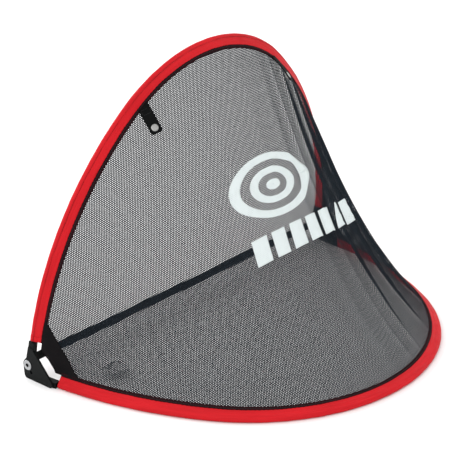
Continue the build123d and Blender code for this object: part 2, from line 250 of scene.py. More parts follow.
MESH_PITCH = 0.0030
FLOOR_MESH_PITCH = 0.0021
MESH_FUZZ = 0.06  # how softly the threads end at the holes, in cells
MESH_UNEVEN = 0.12  # how much the holes differ, in cells
MESH_FAR = 0.58  # the middle of a thread crossing, in cells from the nearest hole's centre


def mesh_cloth(name, pitch, hole, colour):
    """Knitted mesh: round holes in a honeycomb, with threads that swell between them."""
    p = Paint(name, colour, 0.6, Specular_IOR_Level=0.08)
    near = lattice_distance(p, pitch)
    uneven = p.math("MULTIPLY", p.math("SUBTRACT", p.noise(500.0, 2, flat=True), 0.5), MESH_UNEVEN)
    edge = p.math("ADD", near, uneven)
    p.feed(p.shader.inputs["Alpha"], p.range(edge, hole - MESH_FUZZ, hole + MESH_FUZZ))
    # Painted shade: the threads are darker at the holes' edges and lighter where they swell between the
    # holes, with random variation.
    thread_shade = p.math("MULTIPLY", p.range(near, hole, MESH_FAR), p.noise(14.0, 2))
    p.colour(thread_shade, tuple(c * 0.7 for c in colour), tuple(c * 1.5 for c in colour))
    p.bump(p.range(near, hole, MESH_FAR, smooth=True), 0.0006, 0.7)
    return p.material


def hinge_plastic():
    p = Paint("black_hinge_nylon", (0.003, 0.004, 0.004), 0.42, Specular_IOR_Level=0.10)
    grain = p.noise(1400.0, 2)
    scuff = p.range(p.noise((60.0, 60.0, 240.0), 5, roughness=0.7), 0.58, 0.72)
    p.colour(scuff, (0.0025, 0.0035, 0.0035), (0.013, 0.015, 0.015))
    p.rough(p.math("MAXIMUM", scuff, grain), 0.34, 0.60)
    p.bump(grain, 0.00012, 0.6)
    p.bump(p.noise(120.0, 2), 0.0003, 0.25)
    return p.material


def metal(name, colour, roughness, scale):
    p = Paint(name, colour, roughness, Metallic=1.0)
    marks = p.noise((scale, scale, scale * 6), 4)
    tarnish = p.range(p.noise(180.0, 4), 0.45, 0.75)
    p.colour(tarnish, colour, tuple(c * 0.62 for c in colour))
    p.rough(marks, roughness * 0.7, roughness * 1.5)
    p.bump(marks, 0.00006, 0.5)
    return p.material


def rod_glass_fibre():
    p = Paint("black_rod", (0.012, 0.012, 0.013), 0.3, Coat_Weight=0.3)
    streaks = p.noise((900.0, 60.0, 60.0), 3)
    p.colour(streaks, (0.008, 0.008, 0.009), (0.022, 0.022, 0.024))
    p.rough(streaks, 0.22, 0.45)
    p.bump(streaks, 0.0001, 0.4)
    return p.material


def print_ink():
    """White screen print that follows the threads under it and has worn pin-holes."""
    p = Paint("white_print", (0.66, 0.72, 0.72), 0.6, Specular_IOR_Level=0.2)
    near = lattice_distance(p, MESH_PITCH)
    pin_holes = p.range(near, 0.10, 0.25, 1.0, 0.0)
    worn = p.math("MULTIPLY", pin_holes, p.range(p.noise(60.0, 3, flat=True), 0.45, 0.7))
    p.colour(worn, (0.66, 0.72, 0.72), (0.36, 0.39, 0.40))
    p.rough(p.noise(200.0), 0.5, 0.75)
    p.bump(p.range(near, 0.15, 0.55, smooth=True), 0.0004, 0.5)
    return p.material


def label_satin():
    """Woven satin with rows of plain dashes where a real label has its small print."""
    p = Paint("dashed_label", (0.52, 0.52, 0.52), 0.4, Specular_IOR_Level=0.2)
    weave = p.threads(0.0005, 0.0009)
    parts = p.node("SeparateXYZ", Vector=p.place(True))
    row = p.math("LESS_THAN", p.math("PINGPONG", parts.outputs[1], 0.0020), 0.0008)
    words = p.math("GREATER_THAN", p.noise((190.0, 245.0, 1.0), 1, flat=True), 0.47)
    ink = p.math("MULTIPLY", row, words)
    p.colour(p.math("MAXIMUM", p.math("MULTIPLY", weave, 0.15), ink), (0.56, 0.56, 0.56), (0.02, 0.02, 0.022))
    p.bump(weave, 0.00008, 0.6)
    return p.material


def thread(name, colour):
    p = Paint(name, colour, 0.5, Specular_IOR_Level=0.2)
    twist = p.noise((600.0, 600.0, 600.0), 2)
    p.colour(twist, tuple(c * 0.7 for c in colour), tuple(min(1, c * 1.3) for c in colour))
    p.bump(twist, 0.0001, 0.8)
    return p.material


def floor_paint():
    p = Paint("pale_floor", (0.90, 0.90, 0.90), 0.75)
    p.colour(p.noise(3.0, 2), (0.89, 0.89, 0.89), (0.91, 0.91, 0.91))
    return p.material


RED = sleeve_cloth()
TAPE = binding_tape()
WEBBING = webbing()
PATCH = patch_cloth()
CATCH_MESH = mesh_cloth("black_catch_mesh", MESH_PITCH, 0.264, (0.009, 0.0135, 0.019))
FLOOR_MESH = mesh_cloth("black_floor_mesh", FLOOR_MESH_PITCH, 0.442, (0.011, 0.0155, 0.021))
NYLON = hinge_plastic()
STEEL = metal("plated_steel", (0.46, 0.47, 0.48), 0.32, 400.0)
NICKEL = metal("nickel_plate", (0.34, 0.34, 0.33), 0.30, 250.0)
ROD = rod_glass_fibre()
INK = print_ink()
LABEL = label_satin()
RED_THREAD = thread("red_thread", (0.58, 0.015, 0.022))
BLACK_THREAD = thread("black_thread", (0.02, 0.02, 0.022))


# ---------------------------------------------------------------- bow and net geometry
class Arch:
    """A rod's three-centred curve in its bow's plane: X, and reach from the pivot line."""

    def __init__(self, crown_radius):
        self.crown_radius = crown_radius
        self.rise = BOW_REACH - crown_radius
        self.side_radius = (HALF_SPAN**2 + self.rise**2 - crown_radius**2) / (2 * (HALF_SPAN - crown_radius))
        self.side_centre = HALF_SPAN - self.side_radius
        self.join = math.atan2(self.rise, -self.side_centre)
        self.side_length = self.side_radius * self.join
        self.length = 2 * self.side_length + crown_radius * (math.pi - 2 * self.join)

    def at(self, distance):
        """Points and tangents at distances along the rod from its right end."""
        left = distance > self.length / 2
        short = np.where(left, self.length - distance, distance)
        side = short <= self.side_length
        crown_turn = self.join + (short - self.side_length) / self.crown_radius
        angle = np.where(side, short / self.side_radius, crown_turn)
        radius = np.where(side, self.side_radius, self.crown_radius)
        x = np.where(side, self.side_centre, 0) + radius * np.cos(angle)
        reach = np.where(side, 0, self.rise) + radius * np.sin(angle)
        sign = np.where(left, -1, 1)
        return x * sign, reach, -np.sin(angle), np.cos(angle) * sign

    def inside(self, x, reach):
        """How far points in the bow's plane lie inside the rod's curve."""
        right = self.side_radius - np.hypot(x - self.side_centre, reach)
        left = self.side_radius - np.hypot(x + self.side_centre, reach)
        in_crown = reach > self.rise + np.abs(x) * math.tan(self.join)
        crown = np.where(in_crown, self.crown_radius - np.hypot(x, reach - self.rise), 1.0)
        return np.minimum(np.minimum(right, left), crown)


ARCHES = tuple(Arch(radius) for radius in CROWN_RADII)


def unit(vectors):
    return vectors / np.linalg.norm(vectors, axis=-1, keepdims=True)


def in_bow(x, reach, up, origin):
    return origin + x[..., None] * ACROSS + reach[..., None] * up


SLEEVE_TURNS = (0.15, 0.30)  # how far the pull of the net turns each sleeve's flat part inwards
NET_TUCK = 0.003  # how far a net reaches in under a binding


class Bows:
    """Both rods' centre lines and the net's edges and frames, at places u from 0, right, to 1."""

    def __init__(self, u):
        upper_origin, lower_origin = PIVOT, np.array([0, PIVOT[1], ROD_HEIGHT])
        lower_up = np.array([0, 1.0, 0])
        ends = (UPPER_START, BOW_UP, upper_origin), (LOWER_START, lower_up, lower_origin)
        self.rods, self.tangents = [], []
        for arch, (start, up, origin) in zip(ARCHES, ends):
            x, reach, tangent_x, tangent_reach = arch.at(start + u * (arch.length - 2 * start))
            self.rods.append(in_bow(x, reach, up, origin))
            self.tangents.append(in_bow(tangent_x, tangent_reach, up, np.zeros(3)))
        down = unit(self.rods[1] - self.rods[0])
        self.into_net, self.outward, self.edges = [], [], []
        for rod, tangent, way, turn in zip(self.rods, self.tangents, (1, -1), SLEEVE_TURNS):
            straight = unit(np.cross(tangent, np.cross(down * way, tangent)))
            square = unit(np.cross(down, tangent))
            self.into_net.append(straight * math.cos(turn) - square * math.sin(turn))
            self.outward.append(square * math.cos(turn) + straight * math.sin(turn))
            self.edges.append(rod + self.into_net[-1] * (SEAM - NET_TUCK))
        self.chord = self.edges[1] - self.edges[0]
        self.length = np.linalg.norm(self.chord, axis=-1)


NET_SAG = 0.066  # how far the taut mesh is drawn in from straight, as a share of its length there
NET_SAG_LEAN = 0.67  # how much of that lies nearer to the lower bow
TENSION_FOLDS = (  # place u at the upper edge and at the lower edge, width, depth
    (0.665, 0.590, 0.0042, 0.0120),
    (0.700, 0.655, 0.0042, 0.0120),
    (0.735, 0.745, 0.0050, 0.0110),
    (0.630, 0.560, 0.0050, 0.0060),
    (0.600, 0.515, 0.0100, 0.0030),
    (0.545, 0.480, 0.0120, 0.0025),
    (0.460, 0.430, 0.0140, 0.0022),
    (0.370, 0.360, 0.0120, 0.0018),
    (0.280, 0.290, 0.0140, 0.0016),
    (0.790, 0.815, 0.0050, 0.0075),
    (0.835, 0.865, 0.0060, 0.0065),
    (0.160, 0.190, 0.0120, 0.0014),
)


def net_depth(v):
    """How far the net is drawn in, as a share of its length there."""
    return NET_SAG * 4 * v * (1 - v) * (1 + NET_SAG_LEAN * (v - 0.5))


def net_point(u, v, lift=0.0):
    """The catch net's surface at u across and v down, from its edge in the upper binding to the lower one."""
    bows = Bows(u)
    outward = unit(bows.outward[0] * (1 - v)[..., None] + bows.outward[1] * v[..., None])
    depth = lift - net_depth(v) * bows.length
    window = np.clip(4 * v * (1 - v), 0, 1) ** 0.6
    for top, bottom, width, height in TENSION_FOLDS:
        centre = top * (1 - v) + bottom * v
        depth = depth + height * window * np.exp(-(((u - centre) / width) ** 2))
    ripple = np.sin(u * 61 + np.sin(v * 5) * 1.5) * np.sin(v * 9 + u * 17) * 0.0009
    return bows.edges[0] + bows.chord * v[..., None] + outward * (depth + ripple * window)[..., None]


FLAT_U = np.linspace(0, 1, 801)
FLAT_BOWS = Bows(FLAT_U)
MAIN_RULING = unit(FLAT_BOWS.chord[400])
FLAT_STEPS = np.diff(FLAT_BOWS.edges[0], axis=0)
FLAT_STEPS = FLAT_STEPS - np.outer(FLAT_STEPS @ MAIN_RULING, MAIN_RULING)
FLAT_ACROSS = np.concatenate([[0], np.cumsum(np.linalg.norm(FLAT_STEPS, axis=1))])
FLAT_ACROSS = FLAT_ACROSS - FLAT_ACROSS[400]
FLAT_TOP = FLAT_BOWS.edges[0] @ MAIN_RULING


def flat_place(u, v):
    """Where a point of the net lies in the flat cut cloth: across from the middle, and down."""
    across = np.interp(u, FLAT_U, FLAT_ACROSS)
    return across, np.interp(u, FLAT_U, FLAT_TOP) + v * np.interp(u, FLAT_U, FLAT_BOWS.length)


def from_flat(across, down):
    u = np.interp(across, FLAT_ACROSS, FLAT_U)
    return u, (down - np.interp(u, FLAT_U, FLAT_TOP)) / np.interp(u, FLAT_U, FLAT_BOWS.length)


# ---------------------------------------------------------------- mesh building
def new_object(name, points, faces, uvs=None, material=None, smooth=True):
    mesh = bpy.data.meshes.new(name)
    mesh.from_pydata([tuple(p) for p in np.asarray(points).reshape(-1, 3)], [], faces)
    if uvs is not None:
        layer = mesh.uv_layers.new(name="flat")
        flat = np.asarray(uvs, np.float32).reshape(-1, 2)
        corners = np.zeros(len(mesh.loops), np.int32)
        mesh.loops.foreach_get("vertex_index", corners)
        layer.data.foreach_set("uv", flat[corners].ravel())
    mesh.materials.append(material)
    if smooth:
        mesh.polygons.foreach_set("use_smooth", [True] * len(mesh.polygons))
    mesh.validate()
    mesh.update()
    made = bpy.data.objects.new(name, mesh)
    bpy.context.scene.collection.objects.link(made)
    return made


def grid_faces(rows, columns, offset=0, flip=False, closed=False):
    """Quads of a grid of points, its columns joined up when closed."""
    faces = []
    wide = columns if closed else columns - 1
    for r in range(rows - 1):
        for c in range(wide):
            a = offset + r * columns + c
            b = offset + r * columns + (c + 1) % columns
            face = (a, b, b + columns, a + columns)
            faces.append(face[::-1] if flip else face)
    return faces


def sheet_object(name, outer, inner, uvs, material):
    """A thin closed cloth from its two faces, each a rows x columns grid of points."""
    rows, columns = outer.shape[:2]
    count = rows * columns
    faces = grid_faces(rows, columns) + grid_faces(rows, columns, count, flip=True)
    rim = list(range(columns))
    rim += [r * columns + columns - 1 for r in range(1, rows)]
    rim += [(rows - 1) * columns + c for c in range(columns - 2, -1, -1)]
    rim += [r * columns for r in range(rows - 2, 0, -1)]
    for a, b in zip(rim, rim[1:] + rim[:1]):
        faces.append((b, a, a + count, b + count))
    points = np.concatenate([outer.reshape(-1, 3), inner.reshape(-1, 3)])
    return new_object(name, points, faces, np.concatenate([uvs.reshape(-1, 2)] * 2), material)


def swept_object(name, centres, across, outward, section, material):
    """A closed section carried along a line. section is (M, 2) or (N, M, 2): across and outward offsets."""
    section = np.broadcast_to(section, (len(centres), *np.shape(section)[-2:]))
    points = centres[:, None] + section[..., :1] * across[:, None] + section[..., 1:] * outward[:, None]
    points[..., 2] = np.maximum(points[..., 2], 0.0)
    rows, columns = points.shape[:2]
    faces = grid_faces(rows, columns, closed=True)
    faces.append(tuple(range(columns))[::-1])
    faces.append(tuple((rows - 1) * columns + c for c in range(columns)))
    along = np.concatenate([[0], np.cumsum(np.linalg.norm(np.diff(centres, axis=0), axis=1))])
    girth = np.linalg.norm(np.diff(section[0], axis=0), axis=1)
    round_it = np.concatenate([[0], np.cumsum(girth)])
    uvs = np.stack(np.meshgrid(along, round_it, indexing="ij"), -1)
    return new_object(name, points, faces, uvs, material)


def rounded_strip(width, thickness, corner=4):
    """A flat strip's section with round edges, as offsets across and outward from its middle."""
    half = width / 2 - thickness / 2
    turn = np.linspace(-math.pi / 2, math.pi / 2, corner + 1)
    right = np.stack([half + np.cos(turn) * thickness / 2, np.sin(turn) * thickness / 2], 1)
    middle = np.linspace(half, -half, 9)[1:-1]
    top = np.stack([middle, np.full_like(middle, thickness / 2)], 1)
    return np.concatenate([right, top, -right, -top])


def stitches(name, points, along, outward, length, radius, material):
    """A row of short thread stitches, each a small spindle lying on the cloth."""
    sides, rings = 6, ((-0.5, 0.35), (-0.25, 1.0), (0.25, 1.0), (0.5, 0.35))
    side = unit(np.cross(outward, along))
    turn = np.arange(sides) / sides * 2 * math.pi
    verts, faces = [], []
    for i, (p, a, o, s) in enumerate(zip(points, along, outward, side)):
        base = i * sides * len(rings)
        for place, swell in rings:
            ring = np.outer(np.cos(turn), s) + np.outer(np.sin(turn), o) * 0.7
            verts.append(p + a * length * place + ring * radius * swell)
        faces += grid_faces(len(rings), sides, base, closed=True)
        faces.append(tuple(base + k for k in range(sides))[::-1])
        faces.append(tuple(base + sides * (len(rings) - 1) + k for k in range(sides)))
    return new_object(name, np.concatenate(verts), faces, None, material)


# ---------------------------------------------------------------- sleeves, bindings and their seams
BOW_NAMES = ("upper", "lower")
BOW_BODIES = ("upper_frame", "base_frame")
BOW_SIGN = (1, -1)  # the outward normal's turn against the section, so that both run the same way round
STATIONS = 420


def finish_on_bow(piece, bow, slot, *nodes):
    if nodes:
        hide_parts(*nodes)
    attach(piece, BOW_BODIES[bow])
    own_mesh(piece)
    return piece


def sleeve_section(flat_half=0.0013):
    """Round the rod and tapered to the seam: offsets towards the net and outwards."""
    reach = math.hypot(SLEEVE_WIDTH, flat_half)
    touch = math.atan2(flat_half, SLEEVE_WIDTH) + math.acos(SLEEVE_RADIUS / reach)
    turn = np.linspace(touch, 2 * math.pi - touch, 19)
    pocket = SLEEVE_RADIUS * np.stack([np.cos(turn), np.sin(turn)], 1)
    ease = np.linspace(0, 1, 9)[1:]
    bottom = pocket[-1] * (1 - ease[:, None]) + np.array([SLEEVE_WIDTH, -flat_half]) * ease[:, None]
    top = np.array([SLEEVE_WIDTH, flat_half]) * (1 - ease[:, None]) + pocket[0] * ease[:, None]
    return np.concatenate([pocket, bottom, [[SLEEVE_WIDTH, flat_half]], top[:-1]])


WRINKLE_WAVES = 14


def wrinkled(section, u, seed, amount=0.00045):
    """The section at every station, puckered where the seam gathers it and slack round the rod."""
    rng = np.random.default_rng(seed)
    sections = np.repeat(section[None], len(u), axis=0)
    centre = np.array([SLEEVE_WIDTH * 0.4, 0])
    away = section - centre
    away = away / np.linalg.norm(away, axis=1, keepdims=True)
    share = section[:, 0] / SLEEVE_WIDTH
    total = np.zeros((len(u), len(section)))
    for _ in range(WRINKLE_WAVES):
        count, slant = rng.uniform(25, 150), rng.uniform(-7, 7)
        phase = rng.uniform(0, 6.28)
        patch = 0.5 + 0.5 * np.sin(u * rng.uniform(5, 22) + rng.uniform(0, 6.28))
        wave = np.sin(u[:, None] * count * 2 + share * slant + phase)
        total += wave * patch[:, None] / math.sqrt(count / 25)
    pucker = np.sin(u * 2 * math.pi * 165)[:, None] * np.clip(share, 0, 1) ** 3 * 0.9
    total = total * (0.35 + 0.65 * np.clip(1 - abs(share - 0.35), 0, 1)) + pucker
    return sections + total[..., None] * away * amount * 0.45


def make_sleeve(bow):
    u = np.linspace(0, 1, STATIONS * 2)
    bows = Bows(u)
    section = wrinkled(sleeve_section(), u, seed=11 + bow)
    outward = bows.outward[bow] * BOW_SIGN[bow]
    name = BOW_NAMES[bow]
    sleeve = swept_object(f"{name}_sleeve_cloth", bows.rods[bow], bows.into_net[bow], outward, section, RED)
    finish_on_bow(sleeve, bow, "sleeve", f"{name}_sleeve")
    return sleeve


TAPE_WIDTH = BINDING_WIDTH + 0.0020
TAPE_THICKNESS = 0.0030


def make_binding(bow):
    u = np.linspace(0, 1, STATIONS)
    bows = Bows(u)
    middle = bows.rods[bow] + bows.into_net[bow] * (SLEEVE_WIDTH + BINDING_WIDTH / 2 + 0.0002)
    wave = 1 + 0.10 * np.sin(u * 340)[:, None, None] + 0.06 * np.sin(u * 131)[:, None, None]
    section = rounded_strip(TAPE_WIDTH, TAPE_THICKNESS)[None] * np.concatenate([np.ones_like(wave), wave], -1)
    name = BOW_NAMES[bow]
    tape = swept_object(f"{name}_binding_tape", middle, bows.into_net[bow], bows.outward[bow], section, TAPE)
    finish_on_bow(tape, bow, "binding", f"{name}_binding")


SEAM_STITCHES = 300
SEAM_STITCH_LENGTH = 0.0030
SEAM_THREAD_RADIUS = 0.00032
SEAM_STITCH_HEIGHT = 0.00165
SEAM_ROWS = (  # distance from the rod, thread and slot
    (SLEEVE_WIDTH - 0.0022, RED_THREAD, "sleeve"),
    (SLEEVE_WIDTH + 0.0022, BLACK_THREAD, "binding"),
)


def make_seam_stitches(bow):
    """Lock stitches along the sleeve's seam, on both faces, and along the binding's outside."""
    u = (np.arange(SEAM_STITCHES) + 0.5) / SEAM_STITCHES
    bows = Bows(u)
    name = BOW_NAMES[bow]
    for reach, material, slot in SEAM_ROWS:
        for face, label in ((1, "outer"), (-1, "inner")):
            outward = bows.outward[bow] * face
            points = bows.rods[bow] + bows.into_net[bow] * reach + outward * SEAM_STITCH_HEIGHT
            row_name = f"{name}_{slot}_stitches_{label}"
            size = SEAM_STITCH_LENGTH, SEAM_THREAD_RADIUS
            row = stitches(row_name, points, bows.tangents[bow], outward, *size, material)
            finish_on_bow(row, bow, slot)


def make_sleeve_hems(bow):
    """The turned hem at each end of a sleeve: a doubled cuff round the last centimetre."""
    cuff = 0.009
    start = (UPPER_START, LOWER_START)[bow]
    share = cuff / (ARCHES[bow].length - 2 * start)
    for side, first in (("right", 0.0), ("left", 1 - share)):
        u = np.linspace(first, first + share, 7)
        bows = Bows(u)
        grown = sleeve_section()
        centre = np.array([SLEEVE_WIDTH * 0.4, 0])
        grown = grown + (grown - centre) * np.array([0.02, 0.10])
        outward = bows.outward[bow] * BOW_SIGN[bow]
        name = f"{BOW_NAMES[bow]}_sleeve_hem_{side}"
        hem = swept_object(name, bows.rods[bow], bows.into_net[bow], outward, grown, RED)
        finish_on_bow(hem, bow, "sleeve")


# ---------------------------------------------------------------- nets and patches
def angle_at_pivot(points):
    away = points - PIVOT
    return np.arctan2(away[..., 2], away[..., 1])


def fold_with_bows(piece, u, v):
    """Bakes the cloth's placement into its points and works out each point's share of the way between the
    edges' angles at the pivot. It turns no point, so the cloth keeps its rest shape when the bows fold.
    cloth between them shrinks as it shuts, where real cloth would go slack."""
    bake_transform(piece)
    edges = Bows(u).edges
    top, bottom = (angle_at_pivot(edge) for edge in edges)
    between = np.clip((angle_at_pivot(net_point(u, v)) - bottom) / (top - bottom), 0, 1)


def bow_cloth(name, u, thickness, material, lift=0.0):
    """Cloth from seam to seam at places u, one row of points for each, with its flat cut places as UVs."""
    rows, columns = u.shape
    v = np.repeat(np.linspace(0, 1, columns)[None], rows, 0)
    outer = net_point(u, v, lift + thickness / 2)
    inner = net_point(u, v, lift - thickness / 2)
    uvs = np.stack(flat_place(u, v), -1)
    piece = sheet_object(name, outer, inner, uvs, material)
    fold_with_bows(piece, u, v)
    return piece


NET_THICKNESS = 0.00028
NET_UNDER_PATCH = 0.004
PATCH_START = -0.010
PATCH_U = 0.0345
PATCH_WAIST = 0.0075
PATCH_FOOT = 0.84
PATCH_SPREAD = 0.007
PATCH_THICKNESS = 0.0014
PATCH_LIFT = 0.0012  # the patch lies on the net


def patch_edge(v):
    """The patch's edge on the net, as a place u: it narrows at its middle and spreads at its foot."""
    foot = np.clip((v - PATCH_FOOT) / (1 - PATCH_FOOT), 0, 1) ** 1.5
    return PATCH_U - PATCH_WAIST * np.sin(np.minimum(v, 0.5) * math.pi) + PATCH_SPREAD * foot


def lets_light_through(net):
    """Keeps the ground under a net bright. This is for the look: the real mesh would throw a shadow."""
    net.visible_shadow = False
    net.visible_diffuse = False


def make_catch_net():
    v = np.linspace(0, 1, 90)[None]
    start = patch_edge(v) - NET_UNDER_PATCH
    u = start + (1 - 2 * start) * np.linspace(0, 1, 340)[:, None]
    net = bow_cloth("catch_net_mesh", u, NET_THICKNESS, CATCH_MESH)
    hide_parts("catch_net")
    lets_light_through(net)


def make_corner_patch(side):
    """A solid cloth corner from sleeve end to sleeve end, wider at its foot."""
    edge = patch_edge(np.linspace(0, 1, 60)[None])
    u = PATCH_START + (edge - PATCH_START) * np.linspace(0, 1, 26)[:, None]
    u = u if side == "right" else 1 - u[::-1]
    patch = bow_cloth(f"corner_patch_cloth_{side}", u, PATCH_THICKNESS, PATCH, PATCH_LIFT)
    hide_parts(f"corner_patch_{side}")


FLOOR_SLOPE = 0.150  # how far in from its edges the floor net reaches its lowest
FLOOR_FRONT_SLACK = 0.8
FLOOR_CLEAR = 0.0022
FLOOR_FRONT_HEIGHT = 0.0175
FLOOR_CORNER = 0.322  # scales the seam's X to the front edge, which ends short of the strap's ends
FLOOR_BEHIND_STRAP = 0.0012
FLOOR_THICKNESS = 0.00012
FLOOR_LOWEST = 0.0008


def floor_height(x, reach, edge_height):
    """The floor net's height: it drops from its edges and lies just clear of the ground."""
    near = np.minimum(ARCHES[1].inside(x, reach), (reach + STRAP_FRONT) * FLOOR_FRONT_SLACK)
    share = np.clip(near / FLOOR_SLOPE, 0, 1)
    drop = share * share * (3 - 2 * share)
    ripple = 0.0012 * np.sin(x * 47) * np.sin(reach * 39 + x * 11) * drop
    return edge_height * (1 - drop) + FLOOR_CLEAR * drop + np.abs(ripple)


def flatten_floor(piece):
    """Gives the piece its own copy of its mesh; the floor is not pressed flat as the net folds."""
    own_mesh(piece)


def make_floor_net():
    columns, rows = 300, 120
    u = np.linspace(0, 1, columns)
    bows = Bows(u)
    seam = bows.edges[1]
    front_x = seam[:, 0] * (FLOOR_CORNER / HALF_SPAN)
    front_y = np.full(columns, PIVOT[1] - STRAP_FRONT + FLOOR_BEHIND_STRAP)
    front = np.stack([front_x, front_y, np.full(columns, FLOOR_FRONT_HEIGHT)], 1)
    share = np.linspace(0, 1, rows)[:, None, None]
    points = seam[None] * (1 - share) + front[None] * share
    x, reach = points[..., 0], points[..., 1] - PIVOT[1]
    edge = np.where(share[..., 0] > 0.5, FLOOR_FRONT_HEIGHT, points[..., 2])
    points[..., 2] = np.minimum(points[..., 2], floor_height(x, reach, edge))
    below = points - np.array([0, 0, FLOOR_THICKNESS])
    below[..., 2] = np.maximum(below[..., 2], FLOOR_LOWEST)
    uvs = points[..., :2]
    net = sheet_object("floor_net_mesh", points, below, uvs, FLOOR_MESH)
    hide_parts("floor_net")
    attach(net, "base_frame")
    flatten_floor(net)
    lets_light_through(net)


# ---------------------------------------------------------------- webbing
STRAP_BEND = 0.002
STITCH_PROUD = 0.0001  # how far a stitch's middle lies off the cloth


def strap_line():
    """The strap's centre line, from one riveted end round to the other."""
    bend = STRAP_BEND
    front = PIVOT[1] - STRAP_FRONT
    turn = np.linspace(0, math.pi / 2, 7)
    centre = np.array([STRAP_END_X - bend, front + bend])
    corner = centre + bend * np.stack([np.cos(turn), -np.sin(turn)], 1)
    end = np.linspace(PIVOT[1] + STRAP_END, front + bend, 6)[:-1]
    start = np.stack([np.full_like(end, STRAP_END_X), end], 1)
    half = np.concatenate([start, corner])
    run = np.linspace(half[-1, 0], -half[-1, 0], 160)[1:-1]
    middle = np.stack([run, np.full_like(run, front)], 1)
    return np.concatenate([half, middle, (half * [-1, 1])[::-1]])


def make_hinge_strap():
    line = strap_line()
    x = line[:, 0] / STRAP_END_X
    height = PIVOT[2] + np.where(abs(x) < 0.999, 0.0005 * np.sin(x * 9) - 0.0012 * (1 - x**2), 0)
    centres = np.column_stack([line, height])
    along = unit(np.gradient(centres, axis=0))
    across = np.repeat([[0, 0, 1.0]], len(line), 0)
    outward = unit(np.cross(along, across))
    section = rounded_strip(STRAP_WIDTH, STRAP_THICKNESS)
    strap = swept_object("hinge_strap_webbing", centres, across, outward, section, WEBBING)
    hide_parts("hinge_strap")
    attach(strap, "base_frame")
    make_strap_stitches()


def make_strap_stitches():
    """Two rows that sew the floor net and the patches to the strap."""
    x = np.linspace(-0.345, 0.345, 180)
    front = PIVOT[1] - STRAP_FRONT
    for label, y_face in (("front", -1), ("back", 1)):
        y = np.full_like(x, front + y_face * (STRAP_THICKNESS / 2 + STITCH_PROUD))
        z = np.full_like(x, PIVOT[2] - STRAP_WIDTH / 2 + 0.0028)
        outward = np.repeat([[0, float(y_face), 0]], len(x), 0)
        along = np.repeat([[1.0, 0, 0]], len(x), 0)
        points = np.column_stack([x, y, z])
        row = stitches(f"strap_stitches_{label}", points, along, outward, 0.0028, 0.0003, BLACK_THREAD)
        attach(row, "base_frame")


TAB_TUCK = 0.002
TAB_ROOT_DIP = SEAM * math.sin(SLEEVE_TURNS[0])
TAB_STATIONS = 46
TAB_END = 0.93  # where along the tab its end starts to narrow


def tab_axes(side):
    """The tab's root, the bow's way there, the way out of the net and the snap's middle."""
    joint = JOINTS[f"tab_swing_{side}"]
    root = np.array(joint["pos_m"])
    along = np.array(joint["axis"])
    snap_low, snap_high = (np.array(c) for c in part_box(f"snap_cap_{side}"))
    snap = (snap_low + snap_high) / 2
    out = unit(np.cross(along, unit(snap - root)))
    return root, along, out if out[2] > 0 else -out, snap


def tab_rise(t):
    """The tab bends down to the binding that it is sewn to, and bows out a little on its way."""
    return 0.0014 * np.sin(t * math.pi) * (1 - t) - TAB_ROOT_DIP * (1 - t) ** 3


def tab_sections(t):
    """The webbing's section along the tab, narrower at its end."""
    end = np.clip((t - TAB_END) / (1 - TAB_END), 0, 1)
    narrow = 1 - 0.30 * end**2
    section = rounded_strip(TAB_WIDTH, TAB_THICKNESS)
    return section[None] * np.stack([narrow, np.ones_like(narrow)], -1)[:, None]


def make_closure_tab(side):
    """Webbing with a narrower end, slightly bowed, that hangs from the upper seam."""
    root, along, out, snap = tab_axes(side)
    to_snap = snap - root - out * np.dot(snap - root, out)
    reach = np.linalg.norm(to_snap)
    down = to_snap / reach
    across = unit(np.cross(down, out))
    t = np.linspace(0, 1, TAB_STATIONS)
    length = reach + SNAP_FROM_END
    centres = root + np.outer(t * length - TAB_TUCK, down) + np.outer(tab_rise(t), out)
    sections = tab_sections(t)
    frames = [np.repeat([way], TAB_STATIONS, 0) for way in (across, out)]
    tab = swept_object(f"closure_tab_webbing_{side}", centres, *frames, sections, WEBBING)
    skew = np.clip(1 - t / 0.45, 0, 1)[:, None] * np.tan(TAB_SLANT) * sections[..., 0]
    shift = sign_of_skew(across, along) * (skew[..., None] * down).reshape(-1, 3)
    coordinates = np.array([v.co for v in tab.data.vertices]) + shift
    tab.data.vertices.foreach_set("co", coordinates.astype(np.float32).ravel())
    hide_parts(f"closure_tab_{side}")
    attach(tab, f"closure_tab_{side}_body")
    make_tab_stitches(side, root, down, across, out, length)


def sign_of_skew(across, along):
    """Which way the tab's root is cut, so that it runs along the bow."""
    return -math.copysign(1.0, float(np.dot(across, along)))


def make_tab_stitches(side, root, down, across, out, length):
    """A sewn box at the tab's root."""
    width, height, top, step = 0.014, 0.009, 0.004, 0.0026
    points, directions = [], []
    for start, direction, run in (
        (-across * width / 2 + down * top, across, width),
        (-across * width / 2 + down * (top + height), across, width),
        (-across * width / 2 + down * top, down, height),
        (across * width / 2 + down * top, down, height),
    ):
        for k in range(int(run / step)):
            place = start + direction * step * (k + 0.5)
            rise = tab_rise((place @ down + TAB_TUCK) / length) + TAB_THICKNESS / 2 + STITCH_PROUD
            points.append(root + place + out * rise)
            directions.append(direction)
    outward = np.repeat([out], len(points), 0)
    places, ways = np.array(points), np.array(directions)
    row = stitches(f"tab_stitches_{side}", places, ways, outward, 0.0020, 0.0003, BLACK_THREAD)
    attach(row, f"closure_tab_{side}_body")


# ---------------------------------------------------------------- print and label
INK_TOP, INK_BOTTOM = 0.0009, 0.0004  # heights over the net's middle


def printed_shape(name, across, down):
    """Ink on the net: grids of flat places across and down, laid just proud of the mesh."""
    u, v = from_flat(across, down)
    outer = net_point(u, v, INK_TOP)
    inner = net_point(u, v, INK_BOTTOM)
    uvs = np.stack([across, down], -1)
    piece = sheet_object(name, outer, inner, uvs, INK)
    fold_with_bows(piece, u, v)


